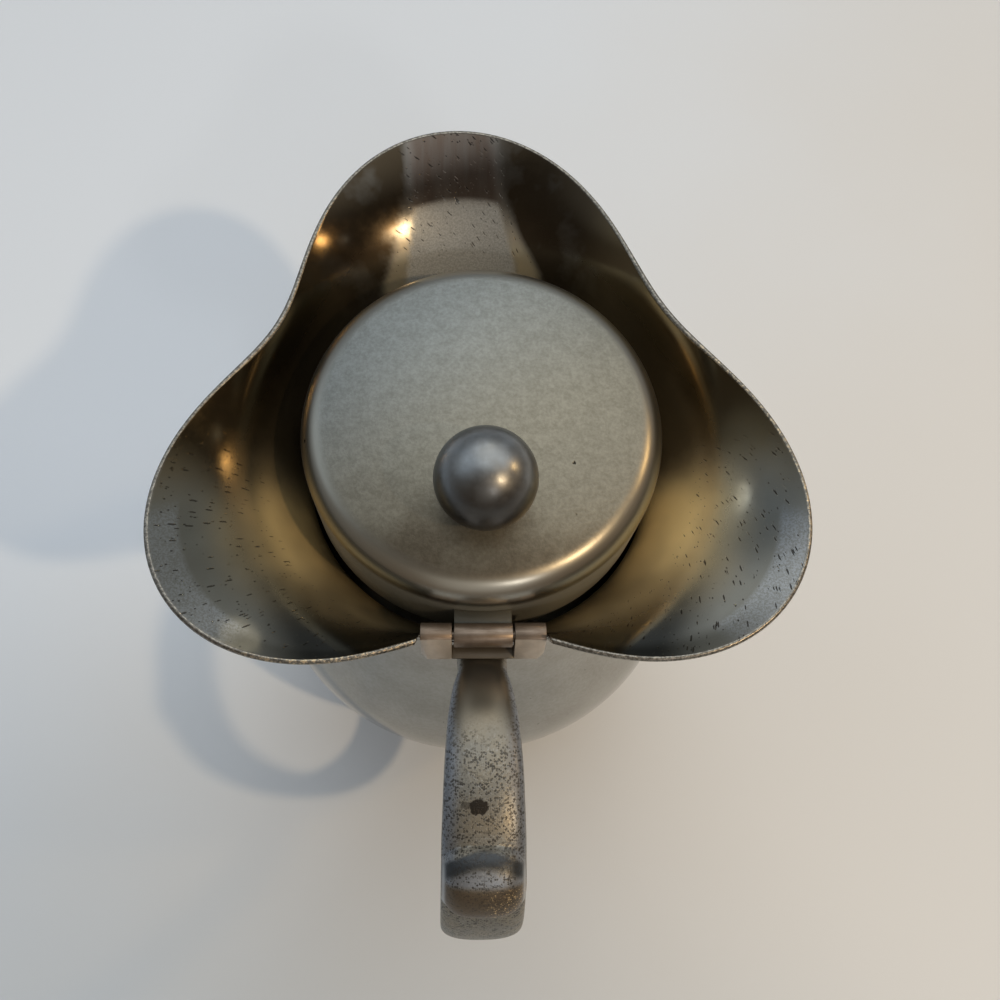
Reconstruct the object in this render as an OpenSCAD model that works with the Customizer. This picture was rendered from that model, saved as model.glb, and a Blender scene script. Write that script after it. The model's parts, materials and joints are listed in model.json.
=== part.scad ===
// Small pewter jug with a three-cornered brim, a hinged lid with a ball knob, and a strap handle.
// Millimetres. The origin is on the body's axis where the foot meets the table,
// +Z is up, +Y points to the front corner of the brim, and the handle is towards -Y.

/* [Body] */
// Radius of the belly at its widest
belly_r = 42.4; // [40:0.2:44]
// Height of the widest part, where the two bowls are soldered together
belly_z = 39; // [36:0.5:42]
// Radius of the neck at its narrowest
neck_r = 30; // [29.9:0.1:30.4]
// Height of the narrowest part of the neck
neck_z = 84; // [80:0.5:84.5]
// How far the neck spreads up to the hinge
neck_flare = 2.4; // [2.2:0.1:2.8]
// Height over which it spreads
neck_spread_h = 12.2; // [12:0.1:12.6]
// Thickness of the pewter sheet
wall = 1.4; // [1.2:0.1:1.6]

/* [Foot] */
// Radius of the foot where it stands
foot_r = 31; // [29:0.5:34]
// Height of the foot
foot_h = 7; // [6:0.5:8]
// Height of the upright edge round the foot
foot_edge = 1.8; // [1.2:0.1:2.4]
// Width of the flat ring that the jug stands on
foot_flat = 2.2; // [1.8:0.1:3]
// Radius of the flat middle of the bowl's floor
floor_r = 22; // [20:0.5:24]

/* [Brim] */
// Height where the neck passes into the brim
brim_z = 85; // [84.8:0.1:85.4]
// Height of the brim's outer edge
rim_z = 105.4; // [104:0.2:107]
// Mean radius of the brim's outer edge
rim_r = 44.8; // [44:0.1:46]
// How far the three corners reach out, and the three folds reach in
rim_swing = 8.6; // [7:0.1:9]
// Angle by which the hand-bent front corner leans to the left
front_lean = 6.2; // [0:0.2:8]
// How far the whole edge sits to the left of the body's axis
rim_left = 0.3; // [0:0.1:1]
// How much further in the back fold reaches, where the hinge sits
back_tuck = 4.6; // [3:0.2:4.6]
// How much lower the edge is at the back fold, so that the lid can swing open over it
back_drop = 2.4; // [2.2:0.2:3]
// Share of the brim's spread that comes early, the rest curling outward near the edge
brim_slope = 0.45; // [0.4:0.05:0.8]
// Half of the width that is cut out of the brim for the hinge
notch_half = 9.9; // [9.8:0.1:11]
// Height that the brim keeps at the bottom of that cut
notch_floor = 12.2; // [12:0.1:12.4]

/* [Lid] */
// Radius of the lid
lid_r = 28; // [27.8:0.1:28.2]
// Height of the lid's lower edge
lid_z = 88; // [87.8:0.1:88.4]
// Height from that edge to where the shoulder turns into the dome
lid_h = 18.6; // [18:0.1:19]
// Radius of the lid's rounded shoulder
shoulder_r = 5; // [3.5:0.1:5]
// Rise of the dome above the shoulder
dome_h = 2.4; // [1.5:0.1:3]
// Thickness of the lid's sheet
lid_wall = 1.2; // [1:0.1:1.4]
// Outer radius of the bezel that drops into the neck
bezel_r = 26.2; // [25:0.1:26.6]
// Depth of the bezel below the lid's lower edge
bezel_drop = 3.2; // [2.4:0.1:4]
// Thickness of the bezel
bezel_wall = 1.1; // [0.9:0.1:1.3]

/* [Knob] */
// Radius of the ball
ball_r = 7.3; // [6.5:0.1:8]
// Height of the ball's centre above the lid's lower edge
ball_rise = 28; // [27.4:0.1:29]
// Distance of the ball from the lid's centre, towards the hinge
ball_back = 13.1; // [12:0.1:14]
// Radius of the ball's neck where it stands on the lid
stem_r = 3.4; // [3:0.1:4]
// Radius of the stud that fixes the ball through the lid
stud_r = 1.5; // [1.2:0.1:1.8]

/* [Hinge] */
// Distance of the hinge axis behind the body's axis
hinge_back = 31.7; // [31.6:0.1:31.9]
// Height of the hinge axis
hinge_z = 100; // [99.9:0.1:100.3]
// Radius of the knuckles
knuckle_r = 1.8; // [1.7:0.1:1.9]
// Radius of the pin
pin_r = 0.75; // [0.6:0.05:0.9]
// Clearance between the pin and the lid's knuckle
pin_gap = 0.05; // [0.03:0.01:0.08]
// Length of the whole hinge
hinge_w = 18.4; // [17.5:0.1:18.6]
// Length of the lid's knuckle
tab_w = 8.6; // [8:0.1:9]
// Clearance between neighbouring knuckles
knuckle_gap = 0.3; // [0.25:0.05:0.5]
// Bevel on the outer corners of the bracket
bracket_bevel = 1; // [0.5:0.1:1.5]

/* [Handle] */
// Thickness of the strap
strap_h = 4.8; // [4.2:0.1:5]
// How far the handle reaches behind the body's axis, at the middle of the strap
handle_reach = 71.8; // [70:0.2:75]
// Height of the middle of the strap where it leaves the neck
handle_root_z = 93; // [92.9:0.1:93.1]
// Height of the middle of the strap at the top of its arch
handle_top_z = 100.4; // [99:0.1:101]
// Height of the middle of the strap where it joins the belly
handle_foot_z = 33; // [30:0.5:36]
// Height of the thumb rest above the strap
thumb_h = 2.6; // [1.5:0.1:3.5]
// Length of the thumb rest along the strap
thumb_l = 9.6; // [8:0.1:11]

/* [Hidden] */

$fn = 72;
pewter = [0.60, 0.59, 0.55];
dark_pewter = [0.45, 0.44, 0.41];
pale_brass = [0.70, 0.60, 0.50];

// Steps along each curved outline
curve_steps = 16;
shoulder_steps = 8;

// Columns round the brim, columns across its cut, and rows up its wall
brim_columns = 90;
cut_columns = 6;
brim_rows = 12;
cut_edge_angle = 0.3;
cut_middle_angle = 16;

// Points round the strap, and how square its section is: 2 is an ellipse, more is squarer
strap_points = 20;
strap_square = 2.6;

neck_top_r = neck_r + neck_flare;
hinge_y = -hinge_back;
lug_w = (hinge_w - tab_w) / 2 - knuckle_gap;
lid_edge_r = lid_r - shoulder_r;
dome_angle = atan(2 * dome_h / lid_edge_r);
shoulder_z = lid_z + lid_h - shoulder_r;
dome_edge = [lid_edge_r + shoulder_r * sin(dome_angle), shoulder_z + shoulder_r * cos(dome_angle)];

function mix(a, b, t) = a + (b - a) * t;
function unit(v) = v / norm(v);
function power(v, p) = sign(v) * pow(abs(v), p);

// Faces of a skin over loops of equal length: either joined end to end, or closed by two caps
function skin_faces(loops, points, joined) = concat(
    [
        for (i = [0 : loops - (joined ? 1 : 2)], j = [0 : points - 1])
            let (
                here = i * points,
                next = ((i + 1) % loops) * points,
                k = (j + 1) % points
            )
            each [[here + j, here + k, next + k], [here + j, next + k, next + j]]
    ],
    joined ? [] : [for (j = [1 : points - 2]) [0, j + 1, j]],
    joined ? [] : let (last = (loops - 1) * points)
        [for (j = [1 : points - 2]) [last, last + j, last + j + 1]]
);

// Outside radius of the body at a height above the foot
function lower_r(z) =
    floor_r + (belly_r - floor_r) * sqrt(1 - pow((belly_z - z) / (belly_z - foot_h), 2));
function shoulder_curve(z) =
    (belly_r + neck_r) / 2 + (belly_r - neck_r) / 2 * cos(180 * (z - belly_z) / (neck_z - belly_z));
function neck_curve(z) =
    let (s = min(1, (z - neck_z) / neck_spread_h))
    neck_r + neck_flare * (3 - 2 * s) * s * s;
function upper_r(z) = z < neck_z ? shoulder_curve(z) : neck_curve(z);
function back_r(z) = brim_outside(0, (z - brim_z) / brim_h(0))[0];
function body_r(z) = z < belly_z ? lower_r(z) : z < brim_z ? upper_r(z) : back_r(z);

// Direction from the outside of the upper bowl to its inside, as radius and height
function upper_inward(z) = let (d = 0.01) unit([-2 * d, upper_r(z + d) - upper_r(z - d)]);

// Foot: a spun ring with a hollow flare, open underneath
module foot_ring() {
    flare = [
        for (i = [0 : curve_steps])
            let (a = 90 * i / curve_steps)
            [foot_r - (foot_r - floor_r) * sin(a), foot_h - (foot_h - foot_edge) * cos(a)]
    ];
    hollow = [
        for (i = [curve_steps : -1 : 0])
            let (a = 90 * i / curve_steps, mouth_r = foot_r - foot_flat)
            [mouth_r - (mouth_r - floor_r + wall) * sin(a), foot_h * (1 - cos(a))]
    ];
    color(pewter)
        rotate_extrude()
            polygon(concat([[foot_r, 0]], flare, hollow));
}

// Lower bowl: a flat floor that turns up in a quarter ellipse to the belly
module lower_bowl() {
    outside = [
        for (i = [0 : curve_steps])
            let (a = 90 * i / curve_steps)
            [floor_r + (belly_r - floor_r) * sin(a), belly_z - (belly_z - foot_h) * cos(a)]
    ];
    inside = [
        for (i = [curve_steps : -1 : 0])
            let (a = 90 * i / curve_steps)
            [floor_r + (belly_r - wall - floor_r) * sin(a), belly_z - (belly_z - foot_h - wall) * cos(a)]
    ];
    color(pewter)
        rotate_extrude()
            polygon(concat([[0, foot_h]], outside, inside, [[0, foot_h + wall]]));
}

// Upper bowl: from the belly in to the neck, where the brim starts
module upper_bowl() {
    heights = concat(
        [for (i = [0 : curve_steps - 1]) mix(belly_z, neck_z, i / curve_steps)],
        [neck_z, brim_z]
    );
    outside = [for (z = heights) [upper_r(z), z]];
    inside = [for (i = [len(heights) - 1 : -1 : 0]) outside[i] + wall * upper_inward(heights[i])];
    color(pewter)
        rotate_extrude()
            polygon(concat(outside, inside));
}

// Brim: a funnel that opens from the round neck into three corners and curls out to its edge.
// Angles run from the back, so the folds are at 0, 120 and 240 and the corners between them.
function bent(angle) = angle + front_lean * pow((1 - cos(angle)) / 2, 2);
function near_back(angle) = pow((1 + cos(angle)) / 2, 8);
function rim_at(angle) =
    rim_r - rim_swing * cos(3 * bent(angle)) + rim_left * sin(angle) - back_tuck * near_back(angle);
function brim_h(angle) = rim_z - back_drop * near_back(angle) - brim_z;
function brim_spread(t) = (brim_slope + (1 - brim_slope) * t * t) * t * t;
function brim_outside(angle, t) =
    let (z = brim_z + brim_h(angle) * t)
    [neck_curve(z) + (rim_at(angle) - neck_top_r) * brim_spread(t), z];
function brim_inward(angle, t) =
    let (
        d = 0.001,
        way = brim_outside(angle, t + d) - brim_outside(angle, t - d),
        own = unit([-way[1], way[0]])
    )
    unit(mix(upper_inward(brim_z), own, min(1, 4 * t)));
function turned(angle, rz) = [-rz[0] * sin(angle), -rz[0] * cos(angle), rz[1]];
// Angle of the upright edge of the cut, which stands at one distance from the middle all the way up
function cut_angle(t) = asin(notch_half / brim_outside(cut_middle_angle, t)[0]);
function brim_angle(share, t) = mix(cut_angle(t), 360 - cut_angle(t), share);
function notch_angle(share, t) = (cut_angle(t) - cut_edge_angle) * (2 * share - 1);
function brim_loop(share, top, in_cut) =
    let (
        rows = [for (i = [0 : brim_rows]) top * i / brim_rows],
        angles = [for (t = rows) in_cut ? notch_angle(share, t) : brim_angle(share, t)],
        outside = [for (i = [0 : brim_rows]) turned(angles[i], brim_outside(angles[i], rows[i]))],
        inside = [
            for (i = [brim_rows : -1 : 0])
                let (rz = brim_outside(angles[i], rows[i]) + wall * brim_inward(angles[i], rows[i]))
                turned(angles[i], rz)
        ]
    )
    concat(outside, inside);

module tricorn_brim() {
    full = [for (i = [0 : brim_columns]) brim_loop(i / brim_columns, 1, false)];
    cut = [for (i = [0 : cut_columns]) brim_loop(i / cut_columns, notch_floor / brim_h(0), true)];
    loops = concat(full, cut);
    color(pewter)
        polyhedron(
            [for (loop = loops) each loop],
            skin_faces(len(loops), len(loops[0]), true),
            convexity = 8
        );
}

// Handle: the middle line of the strap, seen from the side as distance behind the axis and height
handle_curves = [
    [[31, handle_root_z], [38, handle_root_z], [41, handle_top_z - 0.4], [51, handle_top_z]],
    [
        [51, handle_top_z], [61, handle_top_z + 0.4],
        [handle_reach, handle_top_z - 5], [handle_reach, handle_top_z - 20]
    ],
    [
        [handle_reach, handle_top_z - 20], [handle_reach, handle_top_z - 42],
        [58, handle_foot_z], [41, handle_foot_z]
    ]
];
// Width of the strap along the three curves, and places of the thumb rest and its rows
strap_widths = [[0, 7.8], [0.3, 7.4], [0.45, 8.9], [0.7, 10.3], [1, 11.2], [1.3, 11.8], [2, 12.2], [3, 10]];
thumb_at = 1.47;
thumb_rows = 16;
plain_rows = 12;

function bezier(p, t) =
    pow(1 - t, 3) * p[0] + 3 * t * pow(1 - t, 2) * p[1] + 3 * t * t * (1 - t) * p[2] + pow(t, 3) * p[3];
function bezier_way(p, t) =
    pow(1 - t, 2) * (p[1] - p[0]) + 2 * t * (1 - t) * (p[2] - p[1]) + t * t * (p[3] - p[2]);
function handle_curve(u) = min(floor(u), len(handle_curves) - 1);
function handle_point(u) = bezier(handle_curves[handle_curve(u)], u - handle_curve(u));
function handle_out(u) =
    let (way = unit(bezier_way(handle_curves[handle_curve(u)], u - handle_curve(u))))
    [-way[1], way[0]];

// Height of the thumb rest above the strap: a low oval dome
function thumb_rise(u, side) =
    let (
        along = norm(handle_point(u) - handle_point(thumb_at)) / (thumb_l / 2),
        across = side / (0.5 * lookup(u, strap_widths))
    )
    thumb_h * sqrt(max(0, 1 - pow(along, 2) - 0.8 * pow(across, 4)));

function strap_loop(u) = [
    for (j = [0 : strap_points - 1])
        let (
            a = 360 * j / strap_points,
            side = lookup(u, strap_widths) / 2 * power(cos(a), 2 / strap_square),
            lift = strap_h / 2 * power(sin(a), 2 / strap_square),
            bump = sin(a) > 0.1 ? thumb_rise(u, side) : 0,
            yz = handle_point(u) + (lift + bump) * handle_out(u),
            at_end = u == 0 || u == len(handle_curves)
        )
        [side, at_end ? -sqrt(pow(body_r(yz[1]), 2) - side * side) : -yz[0], yz[1]]
];

module handle() {
    thumb_start = 1.2;
    thumb_end = 1.74;
    places = concat(
        [for (i = [0 : plain_rows - 1]) thumb_start * i / plain_rows],
        [for (i = [0 : thumb_rows - 1]) mix(thumb_start, thumb_end, i / thumb_rows)],
        [for (i = [0 : plain_rows]) mix(thumb_end, len(handle_curves), i / plain_rows)]
    );
    loops = [for (u = places) strap_loop(u)];
    color(dark_pewter)
        polyhedron(
            [for (loop = loops) each loop],
            skin_faces(len(loops), strap_points, false),
            convexity = 6
        );
}

// A round bar along X, centred on the hinge axis
module hinge_bar(r, w) {
    translate([-w / 2, hinge_y, hinge_z])
        rotate([0, 90, 0])
            cylinder(r = r, h = w);
}

// Bracket: a plate on the handle's root with a lug at each end, cut back where the lid's knuckle turns
module hinge_bracket() {
    plate_back = 34.6;
    plate_heel = 33.6;
    plate_edge = 0.6;
    plate_z = [95.6, 97];
    lug_front = 29.9;
    seat_z = 97.5;
    seat_r = neck_top_r + 0.4;
    half = hinge_w / 2;
    side_view = [
        [-plate_back, plate_z[1] - plate_edge], [-plate_heel, plate_z[0]],
        [-lug_front, plate_z[0]], [-lug_front, hinge_z],
        [hinge_y - 0.6 * knuckle_r, hinge_z + 0.8 * knuckle_r], [-plate_back, plate_z[1]]
    ];
    plan = [
        [-half, -lug_front], [half, -lug_front], [half, -plate_back + bracket_bevel],
        [half - bracket_bevel, -plate_back], [-half + bracket_bevel, -plate_back],
        [-half, -plate_back + bracket_bevel]
    ];
    color(pale_brass)
        difference() {
            union() {
                intersection() {
                    translate([-half, 0, 0])
                        rotate([90, 0, 90])
                            linear_extrude(hinge_w)
                                polygon(side_view);
                    translate([0, 0, plate_z[0]])
                        linear_extrude(hinge_z + knuckle_r - plate_z[0])
                            polygon(plan);
                }
                hinge_bar(knuckle_r, hinge_w);
            }
            hinge_bar(pin_r, hinge_w + 2);
            translate([-half + lug_w, -plate_back - 1, plate_z[1]])
                cube([hinge_w - 2 * lug_w, plate_back, 3 * knuckle_r]);
            translate([0, 0, plate_z[0] - 1])
                cylinder(r = seat_r, h = seat_z - plate_z[0] + 1);
        }
}

module hinge_pin() {
    color(pale_brass)
        hinge_bar(pin_r, hinge_w);
}

// Height of the lid's outside at a distance from its centre, within the dome
function dome_top(r) = dome_edge[1] + dome_h * (1 - pow(r / dome_edge[0], 2));

function lid_outline(inset) = concat(
    [[lid_r - inset, lid_z]],
    [
        for (i = [0 : shoulder_steps])
            let (a = (90 - dome_angle) * i / shoulder_steps)
            [lid_edge_r + (shoulder_r - inset) * cos(a), shoulder_z + (shoulder_r - inset) * sin(a)]
    ],
    [
        for (i = [1 : curve_steps])
            let (r = dome_edge[0] * (1 - i / curve_steps))
            [r, dome_top(r) - inset]
    ]
);

ball_seat = dome_top(ball_back + stem_r);

// Lid: a spun cap with an upright edge, a rounded shoulder and a low dome, drilled for the knob's stud
module lid_shell() {
    outside = lid_outline(0);
    inside = lid_outline(lid_wall);
    color(pewter)
        difference() {
            rotate_extrude()
                polygon(concat(outside, [for (i = [len(inside) - 1 : -1 : 0]) inside[i]]));
            translate([0, -ball_back, lid_z])
                cylinder(r = stud_r, h = lid_h + dome_h + 1);
            translate([0, -ball_back, ball_seat])
                cylinder(r = stem_r, h = dome_h + 1);
        }
}

// Bezel: a ring inside the lid's edge with a short tube that drops into the neck
module lid_bezel() {
    flange_h = 1;
    inner_r = bezel_r - bezel_wall;
    color(pewter)
        rotate_extrude()
            polygon([
                [inner_r, lid_z - bezel_drop], [bezel_r, lid_z - bezel_drop], [bezel_r, lid_z],
                [lid_r - lid_wall, lid_z], [lid_r - lid_wall, lid_z + flange_h], [inner_r, lid_z + flange_h]
            ]);
}

// Lid's knuckle: a barrel between the bracket's lugs with a tab that runs in to the lid's edge
module lid_knuckle() {
    tab_h = 1.4;
    tab_end = lid_r - 0.6;
    color(pale_brass)
        difference() {
            union() {
                hinge_bar(knuckle_r, tab_w);
                translate([-tab_w / 2, hinge_y, hinge_z - knuckle_r])
                    cube([tab_w, hinge_back - tab_end, tab_h]);
            }
            hinge_bar(pin_r + pin_gap, tab_w + 2);
        }
}

// Knob: a ball on a short waisted neck, turned in one piece with its stud
module ball_knob() {
    ball_z = lid_z + ball_rise;
    waist_r = 0.8 * stem_r;
    waist_angle = asin(waist_r / ball_r);
    stud_end = ball_seat - lid_wall - 1.4;
    ball = [
        for (i = [0 : 2 * curve_steps])
            let (a = mix(waist_angle, 180, i / (2 * curve_steps)))
            [ball_r * sin(a), ball_z - ball_r * cos(a)]
    ];
    color(pewter)
        translate([0, -ball_back, 0])
            rotate_extrude()
                polygon(concat(
                    [[0, stud_end], [stud_r, stud_end], [stud_r, ball_seat], [stem_r, ball_seat],
                     [stem_r, ball_seat + 0.8], [waist_r, ball_seat + 1.4]],
                    ball
                ));
}

foot_ring();
lower_bowl();
upper_bowl();
tricorn_brim();
handle();
hinge_bracket();
hinge_pin();
lid_shell();
lid_bezel();
lid_knuckle();
ball_knob();
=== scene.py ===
import json
from math import asin, atan, copysign, cos, hypot, pi, radians, sin, sqrt, tau

import bmesh
import bpy
from bpy.props import FloatProperty, FloatVectorProperty, PointerProperty
from mathutils import Matrix, Vector


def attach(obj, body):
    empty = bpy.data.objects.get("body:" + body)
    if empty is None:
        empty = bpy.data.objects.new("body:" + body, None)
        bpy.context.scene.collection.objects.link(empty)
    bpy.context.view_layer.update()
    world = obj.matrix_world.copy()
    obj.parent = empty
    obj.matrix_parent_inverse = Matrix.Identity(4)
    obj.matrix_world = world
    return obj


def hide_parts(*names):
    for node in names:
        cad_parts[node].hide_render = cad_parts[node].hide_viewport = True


bl_info = {
    "name": "Lidded Pewter Jug",
    "version": (1, 0, 0),
    "blender": (4, 5, 0),
    "location": "View3D > Sidebar > Jug",
    "description": "Builds a pewter jug with a three-cornered brim, a hinged lid and a strap handle",
    "category": "Object",
}

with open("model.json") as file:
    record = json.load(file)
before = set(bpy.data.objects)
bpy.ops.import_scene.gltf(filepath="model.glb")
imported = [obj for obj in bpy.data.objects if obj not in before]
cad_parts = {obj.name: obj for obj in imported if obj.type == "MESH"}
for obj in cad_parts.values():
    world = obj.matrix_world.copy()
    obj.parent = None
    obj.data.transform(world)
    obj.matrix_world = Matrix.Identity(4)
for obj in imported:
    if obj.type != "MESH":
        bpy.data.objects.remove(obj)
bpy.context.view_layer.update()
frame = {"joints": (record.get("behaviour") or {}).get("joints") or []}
hinge_place = Vector(frame["joints"][0]["pos_m"])
MM = 0.001
# Nearer to the axis than this, in metres, a point counts as lying on it
ON_AXIS = 1e-7
# Edges that turn further than this are shaded as sharp
SHARP = radians(42)
# Angle of the middle of the brim's front corner, in degrees from the hinge
FRONT_CORNER = 174


# Sums

def mix(a, b, t):
    """The value at the share t of the way from a to b."""
    return a + (b - a) * t


def arc(start, end, steps):
    """Values from start to end in equal steps, both included."""
    return [mix(start, end, i / steps) for i in range(steps + 1)]


def smooth(low, high, value):
    """A soft step from 0 at low to 1 at high."""
    t = min(1, max(0, (value - low) / (high - low)))
    return t * t * (3 - 2 * t)


def near(angle, middle, inner, outer):
    """1 within inner degrees of a middle in degrees, falling softly to 0 at outer degrees from it."""
    return smooth(radians(outer), radians(inner), abs(angle - radians(middle)))


# Properties that a user would change

def size(words, millimetres):
    """A length property, given in millimetres. The words before their first comma are its name."""
    return FloatProperty(
        name=words.split(",")[0], description=words, default=millimetres * MM, unit="LENGTH", precision=4
    )


def share(words, value):
    """A plain number property, named in the same way."""
    return FloatProperty(name=words.split(",")[0], description=words, default=value, precision=3)


def colour(words, *tone):
    """A colour property, named in the same way."""
    return FloatVectorProperty(
        name=words.split(",")[0], description=words, default=tone, subtype="COLOR", min=0, max=1
    )


class JugBody(bpy.types.PropertyGroup):
    """Sizes of the foot and the two bowls."""

    belly_r: size("Belly radius, at its widest", 42.4)
    belly_z: size("Belly height, at the seam between the two bowls", 39)
    neck_r: size("Neck radius, at its narrowest", 30)
    neck_z: size("Neck height, where it is narrowest", 84)
    neck_flare: size("Neck flare, how far it spreads up to the hinge", 2.4)
    neck_spread: size("Neck spread, the height over which it flares", 12.2)
    neck_top: size("Neck top, where it passes into the brim", 85)
    wall: size("Wall, the thickness of the pewter sheet", 1.4)
    foot_r: size("Foot radius, where it stands", 31)
    foot_h: size("Foot height, up to the bowl", 7)
    foot_edge: size("Foot edge, the height of its upright edge", 1.8)
    foot_flat: size("Foot flat, the width of the ring it stands on", 2.2)
    foot_soft: size("Foot softness, the rounding of its edges", 0.4)
    floor_r: size("Floor radius, of the flat middle of the bowl's floor", 22)

    def lower_r(self, z):
        """Outside radius of the lower bowl at a height."""
        down = (self.belly_z - z) / (self.belly_z - self.foot_h)
        return self.floor_r + (self.belly_r - self.floor_r) * sqrt(max(0, 1 - down * down))

    def top_r(self):
        """Radius that the neck spreads to."""
        return self.neck_r + self.neck_flare

    def upper_r(self, z):
        """Outside radius of the upper bowl and the neck at a height."""
        if z < self.neck_z:
            turn = pi * (z - self.belly_z) / (self.neck_z - self.belly_z)
            return (self.belly_r + self.neck_r) / 2 + (self.belly_r - self.neck_r) / 2 * cos(turn)
        return self.neck_r + self.neck_flare * smooth(0, self.neck_spread, z - self.neck_z)

    def outside_r(self, z):
        """Outside radius of the body at a height."""
        return self.lower_r(z) if z < self.belly_z else self.upper_r(z)

    def inward(self, z):
        """Direction from the upper bowl's outside to its inside, as radius and height."""
        step = 0.01 * MM
        return Vector((-2 * step, self.upper_r(z + step) - self.upper_r(z - step))).normalized()


class JugBrim(bpy.types.PropertyGroup):
    """Sizes of the three-cornered brim. Its angles run from the back, where the hinge is."""

    rim_z: size("Rim height, of the outer edge", 105.4)
    rim_r: size("Rim radius, the mean of the outer edge", 44.8)
    rim_swing: size("Rim swing, how far corners reach out and folds reach in", 8.6)
    rim_left: size("Rim shift, of the whole edge to the left", 0.3)
    back_tuck: size("Back tuck, how much further in the back fold reaches", 4.6)
    back_drop: size("Back drop, how much lower the edge is at the back fold", 2.4)
    notch_half: size("Notch half width, cut out for the hinge", 9.9)
    notch_floor: size("Notch floor, the height that stays under the cut", 12.2)
    edge_round: size("Edge rounding, the length over which the edge is rounded", 0.5)
    edge_wall: size("Edge thickness, to which the sheet thins", 1.05)
    slope: share("Early spread, the share of it that comes early, the rest near the edge", 0.45)
    front_lean: FloatProperty(
        name="Front lean",
        description="Angle by which the front corner leans to the left",
        default=radians(6.2),
        subtype="ANGLE",
    )

    def bent(self, angle):
        """The angle after the hand-bent lean of the front corner."""
        return angle + self.front_lean * ((1 - cos(angle)) / 2) ** 2

    def near_back(self, angle):
        """1 at the back fold, falling quickly to 0 beside it."""
        return ((1 + cos(angle)) / 2) ** 8

    def rim_at(self, angle):
        """Radius of the outer edge."""
        swing = self.rim_swing * cos(3 * self.bent(angle))
        return self.rim_r - swing + self.rim_left * sin(angle) - self.back_tuck * self.near_back(angle)

    def rise(self, body, angle):
        """Height of the brim above the neck."""
        return self.rim_z - self.back_drop * self.near_back(angle) - body.neck_top

    def outside(self, body, angle, t):
        """Radius and height of the outside, t of the way up."""
        spread = (self.slope + (1 - self.slope) * t * t) * t * t
        height = body.neck_top + self.rise(body, angle) * t
        return Vector((body.upper_r(height) + (self.rim_at(angle) - body.top_r()) * spread, height))

    def back_r(self, body, height):
        """Outside radius at the back fold at a height above the neck."""
        return self.outside(body, 0, (height - body.neck_top) / self.rise(body, 0))[0]

    def inward(self, body, angle, t):
        """Direction from the outside to the inside, turning from the bowl's own near the neck."""
        step = 0.001
        run, rise = self.outside(body, angle, t + step) - self.outside(body, angle, t - step)
        own = Vector((-rise, run)).normalized()
        return body.inward(body.neck_top).lerp(own, min(1, 4 * t)).normalized()

    def cut_angle(self, body, t):
        """Angle of the upright side of the hinge's cut."""
        about = radians(16)
        return asin(self.notch_half / self.outside(body, about, t)[0])

    def pace(self, body, angle):
        """Length of sheet that one whole step of t covers at the outer edge."""
        step = 0.001
        return (self.outside(body, angle, 1) - self.outside(body, angle, 1 - step)).length / step

    def polished(self, angle):
        """1 on the bright inside of each side corner, 0 in the stained folds."""
        return max(near(angle, middle, 20, 44) for middle in (48, 309))

    def dash_turn(self, angle):
        """Direction of the dash-like pits on the sheet, which differs from corner to corner."""
        if angle < tau / 3:
            return radians(75)
        return radians(135) if angle < 2 * tau / 3 else radians(40)


class JugHandle(bpy.types.PropertyGroup):
    """Sizes of the strap handle and its thumb rest."""

    strap_h: size("Strap thickness, in its middle", 4.8)
    reach: size("Reach, of the strap's middle behind the body's axis", 71.8)
    root_z: size("Root height, where the strap leaves the neck", 93)
    top_z: size("Top height, of the strap's arch", 100.4)
    foot_z: size("Foot height, where the strap joins the belly", 33)
    thumb_h: size("Thumb rest height, above the strap", 2.6)
    thumb_l: size("Thumb rest length, along the strap", 9.6)
    square: share("Squareness, of the strap's section, where 2 is an ellipse", 2.6)
    thumb_at: share("Thumb rest place, along the strap's three curves", 1.47)

    def curves(self):
        """The strap's middle line as three curves, in distance behind the axis and height."""
        root, top, foot, reach = self.root_z, self.top_z, self.foot_z, self.reach
        return (
            ((31 * MM, root), (38 * MM, root), (41 * MM, top - 0.4 * MM), (51 * MM, top)),
            ((51 * MM, top), (61 * MM, top + 0.4 * MM), (reach, top - 5 * MM), (reach, top - 20 * MM)),
            ((reach, top - 20 * MM), (reach, top - 42 * MM), (58 * MM, foot), (41 * MM, foot)),
        )

    def middle(self, u):
        """The middle line's place and its outward direction, u curves along it."""
        index = min(int(u), 2)
        t = u - index
        a, b, c, d = (Vector(p) for p in self.curves()[index])
        place = (1 - t) ** 3 * a + 3 * t * (1 - t) ** 2 * b + 3 * t * t * (1 - t) * c + t ** 3 * d
        way = (1 - t) ** 2 * (b - a) + 2 * t * (1 - t) * (c - b) + t * t * (d - c)
        way.normalize()
        return place, Vector((-way[1], way[0]))

    def half_width(self, u):
        """Half of the strap's width, u curves along it, from widths in millimetres at some places."""
        widths = (
            (0, 7.8), (0.3, 7.4), (0.45, 8.9), (0.7, 10.3), (1, 11.2), (1.3, 11.8), (2, 12.2), (3, 10)
        )
        for (start, first), (end, last) in zip(widths, widths[1:]):
            if u <= end:
                return mix(first, last, (u - start) / (end - start)) / 2 * MM
        return widths[-1][1] / 2 * MM

    def thumb_along(self, u):
        """Place along the thumb rest: -1 at its end towards the lid, 1 at its far end."""
        away = (self.middle(u)[0] - self.middle(self.thumb_at)[0]).length
        return away / (self.thumb_l / 2) * (1 if u > self.thumb_at else -1)

    def thumb_reach(self, u, side):
        """0 at the middle of the thumb rest's oval and 1 on its outline."""
        return self.thumb_along(u) ** 2 + 0.8 * (side / self.half_width(u)) ** 4

    def thumb_rise(self, u, side):
        """Height of the thumb rest's low oval dome above the strap."""
        return self.thumb_h * sqrt(max(0, 1 - self.thumb_reach(u, side)))


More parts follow.
